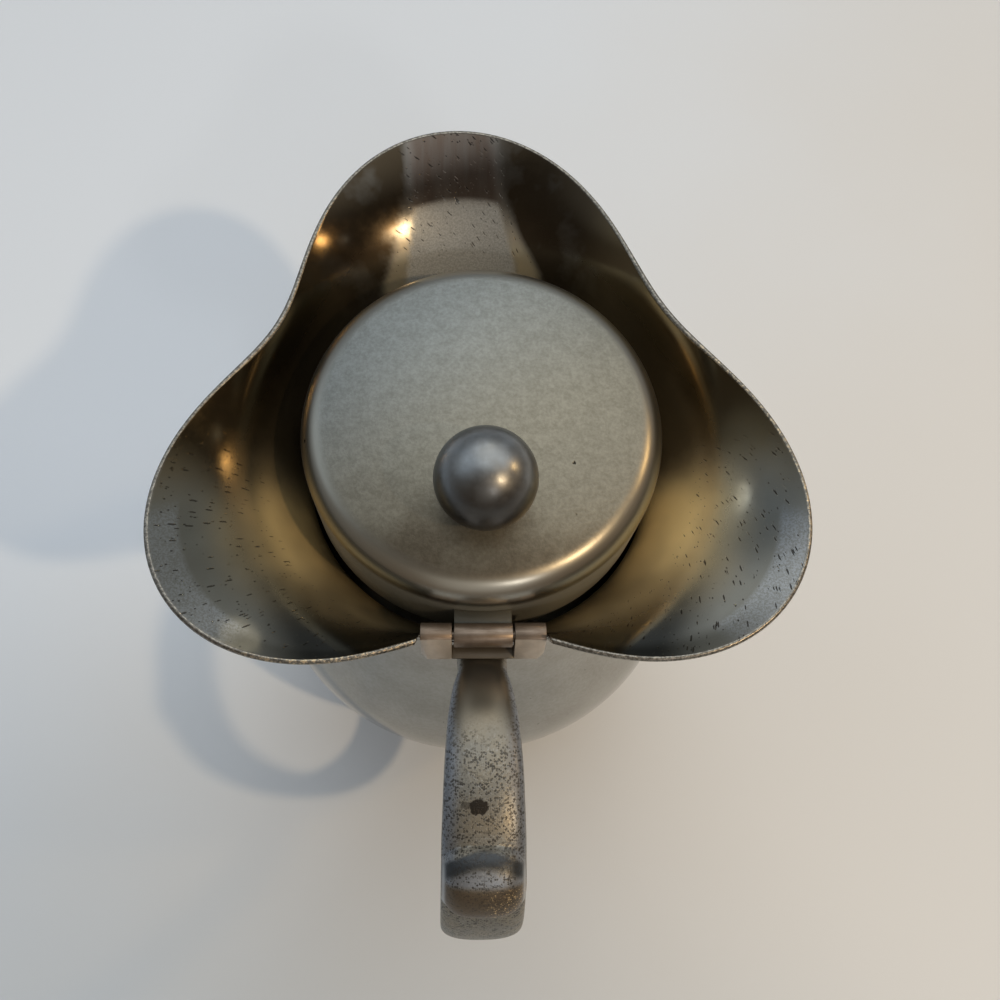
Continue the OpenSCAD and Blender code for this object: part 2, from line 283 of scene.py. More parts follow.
class JugHinge(bpy.types.PropertyGroup):
    """Sizes of the bracket, the pin and the lid's knuckle."""

    knuckle_r: size("Knuckle radius, of all three", 1.8)
    pin_r: size("Pin radius, inside the knuckles", 0.75)
    width: size("Hinge length, over all three knuckles", 18.4)
    tab_w: size("Knuckle length, of the lid's own", 8.6)
    gap: size("Knuckle gap, between neighbours", 0.3)
    bevel: size("Bracket bevel, on its outer corners", 1)
    plate_back: size("Plate back, how far it reaches behind the body's axis", 34.6)
    plate_heel: size("Plate heel, where its underside ends", 33.6)
    plate_z: size("Plate height, of its underside", 95.6)
    plate_h: size("Plate thickness, of the flat part", 1.4)
    plate_edge: size("Plate edge, the height of its upright back", 0.6)
    seat_z: size("Seat height, up to which the bracket is hollowed for the neck", 97.5)
    seat_gap: size("Seat gap, between that hollow and the neck", 0.4)
    tab_h: size("Tab thickness, where it runs in to the lid", 1.4)
    edge: size("Edge softness, the width of the worn bevels", 0.14)


class JugLid(bpy.types.PropertyGroup):
    """Sizes of the lid, its bezel and its ball knob."""

    lid_r: size("Lid radius, of its wall", 28)
    lid_z: size("Lid height, of its lower edge", 88)
    lid_h: size("Shoulder height, above that edge", 18.6)
    shoulder_r: size("Shoulder radius, of its rounding", 5)
    dome_h: size("Dome height, above the shoulder", 2.4)
    wall: size("Lid wall, the thickness of its sheet", 1.2)
    bezel_r: size("Bezel radius, of the ring that drops into the neck", 26.2)
    bezel_drop: size("Bezel drop, below the lid's edge", 3.2)
    bezel_wall: size("Bezel wall, its thickness", 1.1)
    bezel_flange: size("Bezel flange, its thickness", 1)
    ball_r: size("Ball radius, of the knob", 7.3)
    ball_rise: size("Ball rise, from the lid's edge to its centre", 28)
    ball_back: size("Ball place, from the lid's centre towards the hinge", 13.1)
    stem_r: size("Stem radius, where the ball stands on the lid", 3.4)
    stud_r: size("Stud radius, where it fixes the ball", 1.5)
    edge: size("Edge softness, the rounding of sharp edges", 0.3)

    def edge_r(self):
        """Radius where the shoulder's arc has its centre."""
        return self.lid_r - self.shoulder_r

    def shoulder_z(self):
        """Height of the centre of the shoulder's arc."""
        return self.lid_z + self.lid_h - self.shoulder_r

    def dome_angle(self):
        """Slope of the dome where it meets the shoulder."""
        return atan(2 * self.dome_h / self.edge_r())

    def dome_edge(self):
        """Radius and height where the dome meets the shoulder."""
        turn = self.dome_angle()
        return Vector((
            self.edge_r() + self.shoulder_r * sin(turn),
            self.shoulder_z() + self.shoulder_r * cos(turn),
        ))

    def dome_top(self, radius):
        """Height of the dome at a distance from the lid's centre."""
        edge = self.dome_edge()
        return edge[1] + self.dome_h * (1 - (radius / edge[0]) ** 2)

    def ball_seat(self):
        """Height of the lid where the knob's neck stands on it."""
        return self.dome_top(self.ball_back + self.stem_r)


class JugFinish(bpy.types.PropertyGroup):
    """Colours of the metals."""

    pewter: colour("Pewter, with an old polish", 0.41, 0.403, 0.374)
    dull_pewter: colour("Dull pewter, where the polish has gone", 0.36, 0.35, 0.32)
    # Lid colours: a painted cool reflection of a window at the front, the lid's own warm satin in the
    # middle, and a painted dark reflection of the room towards the back shoulder
    lid_cool_reflection: colour("Cool lid, satin at the front", 0.225, 0.24, 0.235)
    lid_warm: colour("Warm lid, satin in the middle", 0.25, 0.23, 0.18)
    lid_dark_reflection: colour("Brown lid, towards the back shoulder", 0.14, 0.118, 0.085)
    lid_shoulder: colour("Lid shoulder, cleaner all round", 0.5, 0.47, 0.4)
    lid_wall: colour("Lid wall, with a dull skin", 0.38, 0.366, 0.312)
    brim_inside: colour("Brim inside, with its polish", 0.30, 0.298, 0.28)
    brim_grey: colour("Brim grey, darkened polish on the side corners", 0.135, 0.132, 0.117)
    brim_cloud: colour("Brim cloud, faint and dark", 0.07, 0.062, 0.046)
    brim_shade: colour("Brim shade, multiplied into its darker parts", 0.37, 0.365, 0.345)
    # Tarnish and fold colours are partly real tarnishing and partly a painted dark reflection of the room:
    # dark in the front corner's sides, paler brown in the folds
    tarnish: colour("Tarnish, brown in the front corner", 0.055, 0.041, 0.026)
    fold: colour("Fold, paler tarnish between the corners", 0.185, 0.138, 0.076)
    # Front panel: a painted reflection of the lid in the polished front corner, grey and a little lighter,
    # with darker specks
    panel: colour("Front panel, cleaner and grey", 0.34, 0.336, 0.315)
    panel_speck: colour("Panel speck, a little darker", 0.25, 0.247, 0.23)
    blush: colour("Blush, in streaks above the front panel", 0.15, 0.11, 0.086)
    # Silver: a painted reflection of the bright room on the outer band of the side corners, speckled like
    # scratched polish
    silver: colour("Silver, outermost in the side corners", 0.2, 0.204, 0.206)
    # Golden colour low in the brim: partly real patination, partly a painted reflection of the lamp-lit lid
    # wall
    patina: colour("Golden patina, low down inside the brim", 0.86, 0.615, 0.265)
    rim_dark: colour("Dark rim, in grains along the edge", 0.13, 0.115, 0.095)
    rim_pale: colour("Pale rim, in grains along the edge", 0.31, 0.295, 0.265)
    # Painted glint on the rim edge, golden as from a warm lamp
    worn: colour("Worn edge, bright on the rim", 0.60, 0.47, 0.30)
    film: colour("Film, dull inside the bowl", 0.15, 0.12, 0.07)
    pit: colour("Pit, with dirt in it", 0.02, 0.017, 0.013)
    knob: colour("Knob, handled pewter", 0.30, 0.31, 0.315)
    knob_grey: colour("Knob grey, in clouds", 0.235, 0.236, 0.23)
    # Painted dark reflection on the back of the ball
    knob_dark_reflection: colour("Knob back, dark", 0.105, 0.098, 0.09)
    cast: colour("Cast skin, of the strap", 0.245, 0.217, 0.168)
    cast_grey: colour("Cast grey, in clouds", 0.215, 0.203, 0.174)
    # Strap root: smooth metal whose brown is partly a painted dark reflection
    strap_root: colour("Strap root, smooth and brown", 0.2, 0.172, 0.13)
    bevel: colour("Strap sides, cooler grey", 0.205, 0.216, 0.236)
    # Thumb rest bands are painted reflections: a dark slate arch on the slope towards the lid, a pale bluish
    # band below it, and brown on the far slope
    slate: colour("Slate, the dark band at the thumb rest's arch", 0.05, 0.054, 0.058)
    frost: colour("Frost, the pale band below it", 0.25, 0.262, 0.282)
    thumb_dark_reflection: colour("Thumb brown, low on the thumb rest", 0.13, 0.098, 0.065)
    thumb_edge: colour("Thumb edge, bright round the thumb rest", 0.5, 0.51, 0.52)
    oxide: colour("Oxide, in specks on the strap", 0.045, 0.04, 0.034)
    fleck: colour("Fleck, pale on the strap", 0.4, 0.4, 0.39)
    # Painted golden glints on the thumb rest, as from a warm lamp
    golden_glint: colour("Golden fleck, on the thumb rest", 0.8, 0.58, 0.3)
    stain: colour("Stain, a dark blot on the strap", 0.03, 0.024, 0.018)
    stain_tail: colour("Stain tail, fainter beside it", 0.06, 0.05, 0.04)
    brass: colour("Hinge brass, dull and pale", 0.27, 0.212, 0.165)
    brass_dark: colour("Dark brass, in clouds", 0.225, 0.172, 0.13)
    brass_pit: colour("Brass pit, with dirt in it", 0.10, 0.06, 0.04)
    slant: colour("Slanted brass, behind the barrel", 0.52, 0.455, 0.385)
    slant_dark: colour("Dark slanted brass, in clouds", 0.44, 0.385, 0.325)
    # Tab colour: a painted shade on the lid's tab, in the gap under the lid's edge; the plate between the
    # lugs takes most of it as a dull skin
    tab: colour("Hinge tab, with the lid's skin", 0.085, 0.08, 0.063)


class JugStage(bpy.types.PropertyGroup):
    """The floor, the lamps and the camera."""

    # Floor colours carry painted light: cool towards the front left, warm towards the warm lamp, and a
    # painted shade multiplied in to the back
    floor_cool: colour("Cool floor, away from the warm lamp", 0.80, 0.855, 0.93)
    floor_warm: colour("Warm floor, towards the warm lamp", 0.755, 0.75, 0.74)
    floor_back: colour("Floor shade, multiplied in to the back", 0.72, 0.765, 0.81)
    floor_r: size("Floor radius, well out of view", 6000)
    key_power: share("Key power, watts of the small warm lamp that throws the shadow", 2.2)
    back_power: share("Back window power, watts of the small window behind the handle", 1.6)
    side_power: share("Side lamp power, watts of the small warm lamp at the right", 0.8)
    focal: FloatProperty(
        name="Focal length", description="Focal length of the camera", default=36, unit="CAMERA"
    )


class JugSettings(bpy.types.PropertyGroup):
    """All of the jug's sizes and colours."""

    body: PointerProperty(type=JugBody)
    brim: PointerProperty(type=JugBrim)
    handle: PointerProperty(type=JugHandle)
    hinge: PointerProperty(type=JugHinge)
    lid: PointerProperty(type=JugLid)
    finish: PointerProperty(type=JugFinish)
    stage: PointerProperty(type=JugStage)


# Meshes

def soften(outline, reach):
    """The outline with each sharp corner off the axis turned into a small curve."""
    steps, slight, most = 4, radians(20), 0.45
    softened = []
    count = len(outline)
    for i, corner in enumerate(outline):
        before, after = outline[i - 1], outline[(i + 1) % count]
        back, on = before - corner, after - corner
        if corner[0] < ON_AXIS or back.angle(-on) < slight:
            softened.append(corner)
            continue
        start = corner + back.normalized() * min(reach, most * back.length)
        end = corner + on.normalized() * min(reach, most * on.length)
        for t in arc(0, 1, steps):
            softened.append((1 - t) ** 2 * start + 2 * t * (1 - t) * corner + t * t * end)
    return softened


def shade(mesh):
    """Smooth shading that breaks at sharp edges."""
    mesh.shade_smooth()
    mesh.set_sharp_from_angle(angle=SHARP)


def linked(name, data):
    """A new object in the scene, from a mesh, a lamp or a camera."""
    made = bpy.data.objects.new(name, data)
    bpy.context.scene.collection.objects.link(made)
    return made


def new_piece(name, points, faces):
    """A mesh object with outward faces."""
    mesh = bpy.data.meshes.new(name)
    mesh.from_pydata(points, [], faces)
    shape = bmesh.new()
    shape.from_mesh(mesh)
    bmesh.ops.recalc_face_normals(shape, faces=shape.faces)
    shape.to_mesh(mesh)
    shape.free()
    shade(mesh)
    return linked(name, mesh)


def spun(name, outline, centre=(0, 0), columns=180):
    """A turned piece: a closed outline of radius and height, spun about an upright axis."""
    points, rings = [], []
    for radius, height in outline:
        around = 1 if radius < ON_AXIS else columns
        rings.append(range(len(points), len(points) + around))
        for i in range(around):
            a = tau * i / columns
            points.append((centre[0] + radius * cos(a), centre[1] + radius * sin(a), height))
    faces = []
    for ring, above in zip(rings, rings[1:] + rings[:1]):
        if len(ring) == 1 and len(above) == 1:
            continue
        for i in range(columns):
            k = (i + 1) % columns
            low = [ring[i % len(ring)], ring[k % len(ring)]]
            high = [above[k % len(above)], above[i % len(above)]]
            faces.append(list(dict.fromkeys(low + high)))
    return new_piece(name, points, faces)


def skinned(name, loops, joined):
    """A skin over loops of equal length, joined end to end or closed by two caps."""
    count, length = len(loops), len(loops[0])
    faces = []
    for i in range(count if joined else count - 1):
        here, following = i * length, (i + 1) % count * length
        for j in range(length):
            k = (j + 1) % length
            faces.append((here + j, here + k, following + k, following + j))
    if not joined:
        faces.append(tuple(range(length)))
        faces.append(tuple(range((count - 1) * length, count * length)))
    return new_piece(name, [p for loop in loops for p in loop], faces)


def paint(piece, name, values):
    """Stores one number for each point of a piece, which its finish can read."""
    layer = piece.data.attributes.new(name, "FLOAT", "POINT")
    layer.data.foreach_set("value", values)


def paint_layers(piece, spots):
    """Stores several named layers, given as the layers' strengths at each point of a piece."""
    for name in spots[0]:
        paint(piece, name, [strengths[name] for strengths in spots])


def unroll(piece, places):
    """Stores where each point lies on the flat sheet, in metres, for marks that follow the sheet."""
    layer = piece.data.uv_layers.new(name="sheet")
    for loop in piece.data.loops:
        layer.data[loop.index].uv = places[loop.vertex_index]


def seat(piece, node, body, finish):
    """Puts a finished piece in place of its solid, on the body that carries it."""
    piece.data.materials.append(finish)
    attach(piece, body)
    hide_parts(node)


# Finishes

class Output:
    """A node's output, which can be added, taken away and multiplied like a number."""

    def __init__(self, nodes, socket):
        self.nodes = nodes
        self.socket = socket

    def __add__(self, other):
        return self.nodes.combined("ADD", self, other)

    def __sub__(self, other):
        return self.nodes.combined("SUBTRACT", self, other)

    def __rsub__(self, other):
        return self.nodes.combined("SUBTRACT", other, self)

    def __mul__(self, other):
        return self.nodes.combined("MULTIPLY", self, other)

    def beside(self, name):
        """Another output of the same node."""
        return Output(self.nodes, self.socket.node.outputs[name])


class Nodes:
    """Short calls that fill a node tree. Its base is the colour that has been built up so far."""

    def __init__(self, tree, base=None):
        self.tree = tree
        self.base = base

    def put(self, socket, value):
        """Links a node's output to a socket, or sets the socket's own value."""
        if isinstance(value, Output):
            self.tree.links.new(value.socket, socket)
        elif socket.type == "RGBA" and len(value) == 3:
            socket.default_value = (*value, 1)
        else:
            socket.default_value = value

    def add(self, kind, output=0, inputs=(), **settings):
        """Adds a node, with its settings and its inputs by place or name, and gives one output."""
        made = self.tree.nodes.new("ShaderNode" + kind)
        for key, value in settings.items():
            setattr(made, key, value)
        for key, value in dict(inputs).items():
            self.put(made.inputs[key], value)
        return Output(self, made.outputs[output])

    def combined(self, way, first, second):
        """Two numbers put together: ADD, SUBTRACT, MULTIPLY and so on."""
        return self.add("Math", 0, {0: first, 1: second}, operation=way)

    def larger(self, first, second):
        """The larger of two numbers."""
        return self.combined("MAXIMUM", first, second)

    def vector(self, way, first, second, output=0):
        """Two vectors put together."""
        return self.add("VectorMath", output, {0: first, 1: second}, operation=way)

    def along(self, place, way):
        """How far a place lies along a direction."""
        return self.vector("DOT_PRODUCT", place, way, "Value")

    def step(self, value, low, high, bottom=0, top=1):
        """A soft step between two values."""
        inputs = {"Value": value, 1: low, 2: high, 3: bottom, 4: top}
        return self.add("MapRange", 0, inputs, interpolation_type="SMOOTHSTEP")

    def ramp(self, value, stops):
        """Colours that pass into each other along a value from 0 to 1."""
        tones = self.add("ValToRGB", "Color", {"Fac": value})
        bands = tones.socket.node.color_ramp
        while len(bands.elements) < len(stops):
            bands.elements.new(1)
        for element, (position, tone) in zip(bands.elements, stops):
            element.position = position
            element.color = (*tone, 1)
        return tones

    def tint(self, factor, first, second, way="MIX"):
        """Two colours mixed by a factor."""
        return self.add("Mix", 2, {0: factor, 6: first, 7: second}, data_type="RGBA", blend_type=way)

    def over(self, factor, tone, way="MIX"):
        """Lays a colour over the base by a factor."""
        self.base = self.tint(factor, self.base, tone, way)


class Finish(Nodes):
    """A material's node tree, with short calls for what the finishes share. Marks are in millimetres."""

    def __init__(self, name, roughness, base):
        self.material = bpy.data.materials.new(name)
        self.material.use_nodes = True
        super().__init__(self.material.node_tree, base)
        self.shader = self.tree.nodes["Principled BSDF"]
        self.shader.inputs["Metallic"].default_value = 1
        self.shader.inputs["Roughness"].default_value = roughness
        self.place = self.add("TexCoord", "Object")

    def painted(self, name):
        """The numbers that a piece's mesh stores under a name."""
        return self.add("Attribute", "Fac", attribute_name=name)

    def height(self):
        """Height above the ground, with the lid closed."""
        return self.add("SeparateXYZ", 2, {0: self.place})

    def cloud(self, grain, detail=3, rough=0.5, place=None):
        """Soft blotches of about that size."""
        inputs = {"Vector": place or self.place, "Scale": 1 / (grain * MM)}
        inputs |= {"Detail": detail, "Roughness": rough}
        return self.add("TexNoise", "Fac", inputs)

    def blotches(self, grain, soft, bottom=0, top=1, detail=3, rough=0.5):
        """Clouds with clearer outlines, from bottom to top. A larger soft makes the outlines softer."""
        return self.step(self.cloud(grain, detail, rough), 0.5 - soft, 0.5 + soft, bottom, top)

    def stretched(self, place, scale):
        """A place with one of its directions drawn out, for marks that are longer than wide."""
        return self.add("Mapping", 0, {"Vector": place, "Scale": scale})

    def ragged(self, reach, grain, place=None):
        """A place shaken by up to a reach, which gives marks uneven outlines."""
        place = place or self.place
        inputs = {"Vector": place, "Scale": 1 / (grain * MM), "Detail": 2}
        centred = self.vector("SUBTRACT", self.add("TexNoise", "Color", inputs), (0.5, 0.5, 0.5))
        moved = self.add("VectorMath", 0, {0: centred, "Scale": 2 * reach * MM}, operation="SCALE")
        return self.vector("ADD", place, moved)

    def pits(self, grain, share_with_pit, largest, place):
        """Scattered pits, the largest a share of the grain in radius: 1 in a pit and 0 elsewhere."""
        inputs = {"Vector": place, "Scale": 1 / (grain * MM), "Randomness": 1}
        spots = self.add("TexVoronoi", "Distance", inputs)
        chance = self.add("SeparateColor", 0, {0: spots.beside("Color")})
        radius = self.step(chance, 1 - share_with_pit, 1, 0, largest)
        return self.step(spots - radius, 0, -0.4 * largest)

    def blot(self, middle, reach, uneven):
        """An oval blot with an uneven outline, by its half widths: 1 inside and 0 outside."""
        away = self.vector("SUBTRACT", self.ragged(uneven, 1.2 * uneven), Vector(middle) * MM)
        shares = self.vector("DIVIDE", away, Vector(reach) * MM)
        return self.step(self.add("VectorMath", "Value", {0: shares}, operation="LENGTH"), 1.1, 0.9)

    def coat(self, roughness=None, height=None, depth=0, metal=None):
        """Gives the shader its colour, roughness, share of bare metal and fine relief."""
        inputs = {"Base Color": self.base, "Roughness": roughness, "Metallic": metal}
        if height is not None:
            inputs["Normal"] = self.add("Bump", 0, {"Height": height, "Distance": depth * MM, "Strength": 1})
        for name, value in inputs.items():
            if value is not None:
                self.put(self.shader.inputs[name], value)
        return self.material


def body_finish(colours):
    """Old polish on the body: glossy, with faint clouds and scratches, and a dull film inside."""
    finish = Finish("body_pewter", 0.2, colours.pewter)
    finish.over(finish.blotches(9, 0.15), colours.dull_pewter)
    finish.over(finish.blotches(0.7, 0.2, detail=4, rough=0.6), (0.88, 0.87, 0.85), "MULTIPLY")
    film = finish.painted("film")
    # Near the brim the inside film takes the golden colour of the brim's painted reflection and patination
    near_brim = finish.step(finish.height(), 82 * MM, 94 * MM)
    finish.over(film, finish.tint(near_brim, colours.film, colours.patina))
    marks = finish.pits(2, 0.2, 0.1, finish.ragged(0.1, 0.3))
    finish.over(marks, colours.pit)
    roughness = finish.blotches(4, 0.2, 0.08, 0.16, 5, 0.6) + film * 0.3
    metal = finish.step(film, 0, 1, 1, 0.35)
    scratches = finish.cloud(0.5, 3, 0.6, finish.stretched(finish.place, (1, 1, 8)))
    return finish.coat(roughness, scratches, 0.004, metal)


def brim_finish(colours):
    """Polished inside with dash-like pits, brown in the folds from real tarnishing and a painted dark
    reflection, golden low down from real patination and a painted reflection, with a rubbed edge that
    carries painted glints.
    """
    finish = Finish("brim_pewter", 0.14, colours.pewter)
    side, panel, edge = (finish.painted(name) for name in ("side", "panel", "edge"))
    finish.over(finish.painted("inner"), colours.brim_inside)
    finish.over(side, colours.brim_grey)
    finish.over(finish.blotches(7, 0.15, detail=4) * 0.18, colours.brim_cloud)
    # Golden painted reflection of the lamp-lit lid wall, with some real patination, low inside the brim
    patina = finish.painted("patina") * finish.blotches(9, 0.3, 0.75, 1.15, 2, 0.4)
    finish.over(patina, colours.patina)
    streaks = finish.cloud(1.6, 3, 0.6, finish.stretched(finish.place, (1, 0.1, 0.1)))
    finish.over(finish.painted("blush") * finish.step(streaks, 0.3, 0.7, 0.75, 1), colours.blush)
    # Painted dark reflection with some real tarnishing, where the brim is not brightly polished
    tarnish = finish.painted("tarnish") * finish.blotches(11, 0.25, 0.8, 1.3, 4, 0.6)
    finish.over(tarnish, finish.tint(side, colours.tarnish, colours.fold))
    speckle = finish.blotches(0.3, 0.1, rough=0.75)
    # Painted reflection of the lid on the front corner's panel, speckled
    finish.over(panel, finish.tint(speckle, colours.panel_speck, colours.panel))
    # Painted silvery reflection, speckled, on the outer band of the side corners
    finish.over(finish.painted("silver") * finish.step(speckle, 0, 1, 0.3, 1), colours.silver)
    finish.over(finish.painted("shade"), colours.brim_shade, "MULTIPLY")
    sheet = finish.ragged(0.06, 0.35, finish.add("UVMap", 0, uv_map="sheet"))
    dashes = finish.pits(0.42, 0.85, 0.29, finish.stretched(sheet, (0.19, 1, 1)))
    dots = finish.pits(0.42, 0.6, 0.24, finish.stretched(sheet, (0.55, 1, 1)))
    marks = finish.larger(dashes, dots) * finish.painted("pitted")
    finish.over(marks * 0.85, colours.pit)
    grain = finish.cloud(0.4, 3, 0.7)
    rim = finish.tint(finish.step(grain, 0.35, 0.65), colours.rim_dark, colours.rim_pale)
    # Painted golden glints on the rubbed rim, strongest at the back left and at the right
    glints = finish.step(grain, 0.5, 0.6) * finish.painted("glint")
    finish.over(edge, finish.tint(glints, rim, colours.worn))
    dull = finish.larger(patina, panel * 0.8)
    soft = finish.blotches(3, 0.2, 0.07, 0.14, 5, 0.65)
    roughness = soft + edge * 0.22 + dull * 0.2 + tarnish * 0.05 + finish.painted("low") * 0.2
    metal = finish.step(dull, 0, 1, 1, 0.15)
    return finish.coat(roughness, grain * edge - marks, 0.04, metal)


def lid_finish(colours, lid):
    """Satin pewter: mottled on the dome, glossier on the shoulder, dull and greenish on the wall, with a
    painted cool reflection at the front and a painted dark reflection towards the back.
    """
    finish = Finish("lid_pewter", 0.4, colours.lid_warm)
    height, shoulder = finish.height(), lid.shoulder_z()
    on_top = finish.step(height, shoulder + 4.2 * MM, shoulder + 5 * MM)
    on_wall = finish.step(height, shoulder + 1.6 * MM, shoulder - 1 * MM)
    # Painted cool reflection towards the front left
    front_left = finish.along(finish.place, (-0.5, 0.85, 0))
    finish.over(finish.step(front_left, -8 * MM, 22 * MM), colours.lid_cool_reflection)
    # Painted dark reflection, browner towards the back shoulder
    to_back = finish.along(finish.place, (-0.1, -1, 0)) + finish.blotches(8, 0.2, -3 * MM, 3 * MM)
    finish.over(finish.step(to_back, 12 * MM, 25 * MM), colours.lid_dark_reflection)
    coarse = finish.blotches(1.6, 0.16, rough=0.6)
    speckle = finish.blotches(0.5, 0.16, rough=0.65)
    mottle = coarse * 0.45 + speckle * 0.55
    finish.over(on_top, finish.tint(mottle, (0.76, 0.75, 0.73), (1.06, 1.06, 1.06)), "MULTIPLY")
    finish.over(finish.larger(1 - on_top, on_wall) * 0.8, colours.lid_shoulder)
    finish.over(on_wall, colours.lid_wall)
    marks = finish.pits(4.5, 0.3, 0.085, finish.ragged(0.25, 0.6))
    finish.over(marks, colours.pit)
    roughness = finish.step(on_top, 0, 1, 0.3, 0.4) + on_wall * 0.22
    metal = finish.step(on_wall + on_top * 0.35, 0, 1, 1, 0.55)
    return finish.coat(roughness, mottle * on_top - marks * 3, 0.01, metal)


def knob_finish(colours):
    """Handled pewter of the ball, darker to the back from a painted dark reflection, smooth with a few dark
    scratches.
    """
    finish = Finish("knob_pewter", 0.22, colours.knob)
    finish.over(finish.blotches(3.5, 0.15, detail=4), colours.knob_grey)
    # Painted dark reflection, darker towards the back
    to_back = finish.along(finish.place, (0, -1, 0))
    finish.over(finish.step(to_back, 13.5 * MM, 19 * MM), colours.knob_dark_reflection)
    marks = finish.pits(1.5, 0.25, 0.09, finish.ragged(0.15, 0.4))
    finish.over(marks, colours.pit)
    roughness = finish.blotches(1.5, 0.2, 0.3, 0.4, 4, 0.6)
    return finish.coat(roughness, finish.cloud(0.6, 3), 0.006)


def handle_finish(colours):
    """Cast pewter: smooth and brown at the root, where the brown is partly a painted dark reflection,
    speckled with oxide further back, with bands of painted reflection and painted glints on the thumb rest.
    """
    finish = Finish("handle_pewter", 0.4, colours.cast)
    bare, slate, brown = (finish.painted(name) for name in ("bare", "slate", "brown"))
    finish.over(finish.blotches(3.5, 0.15, detail=4), colours.cast_grey)
    finish.over(finish.painted("bevel"), colours.bevel)
    # Painted reflections on the thumb rest: pale band, dark slate arch and brown far slope
    finish.over(finish.painted("frost"), colours.frost)
    finish.over(slate, colours.slate)
    finish.over(brown, colours.thumb_dark_reflection)
    plain = 1 - finish.larger(slate, brown)
    shaken = finish.ragged(0.1, 0.2)
    specks = finish.larger(finish.pits(0.3, 1, 0.85, shaken), finish.pits(0.6, 0.5, 0.5, shaken))
    specks *= finish.step(finish.cloud(2.4, 3, 0.6), 0.32, 0.56, 0.3, 1)
    finish.over(specks * finish.step(plain, 0, 1, 0.5, 0.9), colours.oxide)
    grain = finish.cloud(0.34, 3, 0.75)
    pale = finish.step(grain, 0.55, 0.66)
    finish.over(pale * 0.4 * plain, colours.fleck)
    # Painted golden glints on the right of the thumb rest's far slope
    finish.over(pale * finish.painted("gold"), colours.golden_glint)
    # Brown on the smooth root, partly a painted dark reflection
    finish.over(bare, colours.strap_root)
    finish.over(finish.painted("edge"), colours.thumb_edge)
    tail = finish.blot((-2.5, -55.7, 102.6), (0.8, 0.5, 8), 0.3)
    finish.over(tail * 0.6, colours.stain_tail)
    stain = finish.blot((-0.8, -55.9, 102.6), (1.35, 1.0, 8), 0.4)
    finish.over(stain, colours.stain)
    roughness = finish.step(bare, 0, 1, 0.38, 0.32)
    metal = finish.step(bare, 0, 1, 0.7, 0.9)
    return finish.coat(roughness, (grain - specks * 0.4) * (1 - bare), 0.035, metal)


def brass_finish(colours):
    """Dull brass, brushed along the hinge, paler on the slanted faces, dark on the tab from a painted shade.
    """
    finish = Finish("hinge_brass", 0.42, colours.brass)
    clouds = finish.blotches(2.2, 0.15, detail=4)
    finish.over(clouds, colours.brass_dark)
    brushed = finish.cloud(0.4, 4, 0.7, finish.stretched(finish.place, (0.08, 1, 1)))
    finish.over(finish.step(brushed, 0.35, 0.65), (0.84, 0.82, 0.8), "MULTIPLY")
    marks = finish.pits(2, 0.25, 0.1, finish.ragged(0.1, 0.3))
    finish.over(marks, colours.brass_pit)
    slant, tab = finish.painted("slant"), finish.painted("tab")
    finish.over(slant, finish.tint(clouds, colours.slant, colours.slant_dark))
    # Painted shade on the lid's tab, and in part on the plate
    finish.over(tab, colours.tab)
    roughness = finish.step(brushed, 0.3, 0.7, 0.34, 0.5)
    metal = finish.step(finish.larger(tab, slant), 0, 1, 0.85, 0.35)
    return finish.coat(roughness, brushed, 0.012, metal)


# Pieces

def foot_outline(body):
    """The foot's spun ring with its hollow flare, open underneath."""
    mouth_r = body.foot_r - body.foot_flat
    flare = [
        Vector((
            body.foot_r - (body.foot_r - body.floor_r) * sin(a),
            body.foot_h - (body.foot_h - body.foot_edge) * cos(a),
        ))
        for a in arc(0, pi / 2, 32)
    ]
    hollow = [
        Vector((mouth_r - (mouth_r - body.floor_r + body.wall) * sin(a), body.foot_h * (1 - cos(a))))
        for a in arc(pi / 2, 0, 32)
    ]
    return [Vector((body.foot_r, 0))] + flare + hollow


def lower_outline(body):
    """The flat floor that turns up in a quarter ellipse to the belly, and its inside."""
    outline = []
    for inset, order in ((0, 1), (body.wall, -1)):
        low, wide = body.foot_h + inset, body.belly_r - inset
        side = [Vector((0, low))]
        for a in arc(0, pi / 2, 40):
            radius = body.floor_r + (wide - body.floor_r) * sin(a)
            side.append(Vector((radius, body.belly_z - (body.belly_z - low) * cos(a))))
        outline += side[::order]
    return outline


def upper_outline(body):
    """From the belly in to the neck, where the brim starts, and its inside."""
    heights = arc(body.belly_z, body.neck_z, 48)[:-1] + arc(body.neck_z, body.neck_top, 4)
    outside = [Vector((body.upper_r(z), z)) for z in heights]
    inside = [p + body.wall * body.inward(z) for p, z in zip(outside, heights)]
    return outside + inside[::-1]


def paint_film(piece, body):
    """Stores where a bowl's points lie on its inside, which has a dull film."""
    values = []
    for vertex in piece.data.vertices:
        x, y, z = vertex.co
        values.append(1 if hypot(x, y) < body.outside_r(z) - body.wall / 2 else 0)
    paint(piece, "film", values)


def brim_column(body, brim, angle_at, top=1):
    """Places round one column of the brim: angle, height share and inset from the outside."""
    # The rows crowd together towards the edge
    rows, crowding, turns = 40, 1.7, 8
    rounding = min(brim.edge_round / brim.pace(body, angle_at(top)), 0.3 * top)
    up = [(1 - (1 - s) ** crowding) * (top - rounding) for s in arc(0, 1, rows)]
    column = [(angle_at(t), t, 0) for t in up]
    for a in arc(0, pi, turns)[1:-1]:
        t = top - rounding + rounding * sin(a)
        column.append((angle_at(t), t, (1 - cos(a)) / 2))
    return column + [(angle_at(t), t, 1) for t in up[::-1]]


